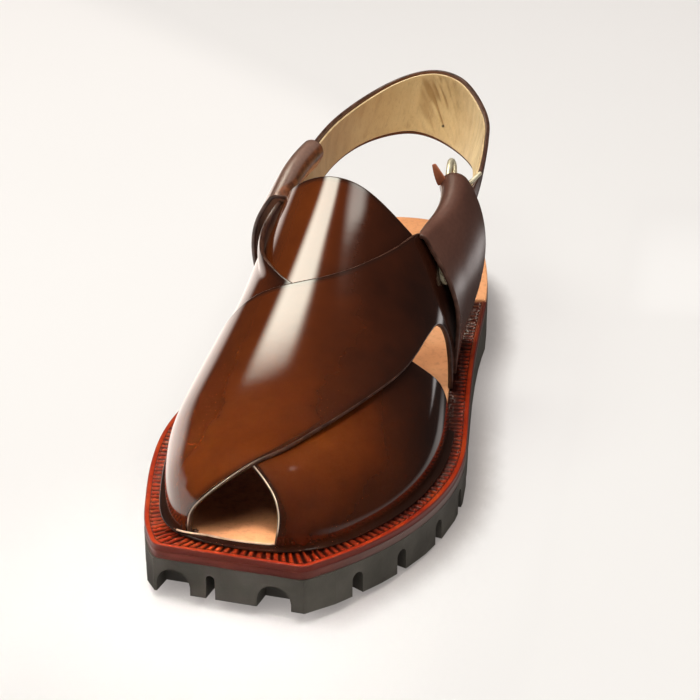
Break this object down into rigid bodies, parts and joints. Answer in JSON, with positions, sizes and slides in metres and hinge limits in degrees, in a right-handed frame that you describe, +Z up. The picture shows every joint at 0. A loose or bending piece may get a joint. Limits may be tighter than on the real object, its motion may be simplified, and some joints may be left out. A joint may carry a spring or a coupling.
{
  "type": "norozi chappal",
  "caption": "Left norozi chappal: brown crossed-strap leather sandal with a buckled back strap and a lugged rubber sole.",
  "frame": {"origin": "on the floor under the middle of the shoe's box", "axes": "+Z up; the heel points to +Y and the toe to -Y; the lateral (outer) side is +X"},
  "size_m": [0.1039, 0.2847, 0.0922],
  "materials": {
    "outsole_rubber": "matte dark grey rubber",
    "midsole_red": "red-brown dyed leather edge",
    "welt_leather": "red-brown leather, tooled",
    "insole_leather": "smooth tan leather",
    "upper_leather": "high-gloss dark brown leather",
    "back_strap_leather": "satin brown leather, khaki lining",
    "buckle_brass": "pale polished brass"
  },
  "bodies": {
    "root": {"outsole": "outsole_rubber", "midsole": "midsole_red", "welt": "welt_leather", "insole": "insole_leather", "upper": "upper_leather", "back_strap": "back_strap_leather", "buckle_frame": "buckle_brass", "buckle_prong": "buckle_brass"}
  },
  "joints": []
}
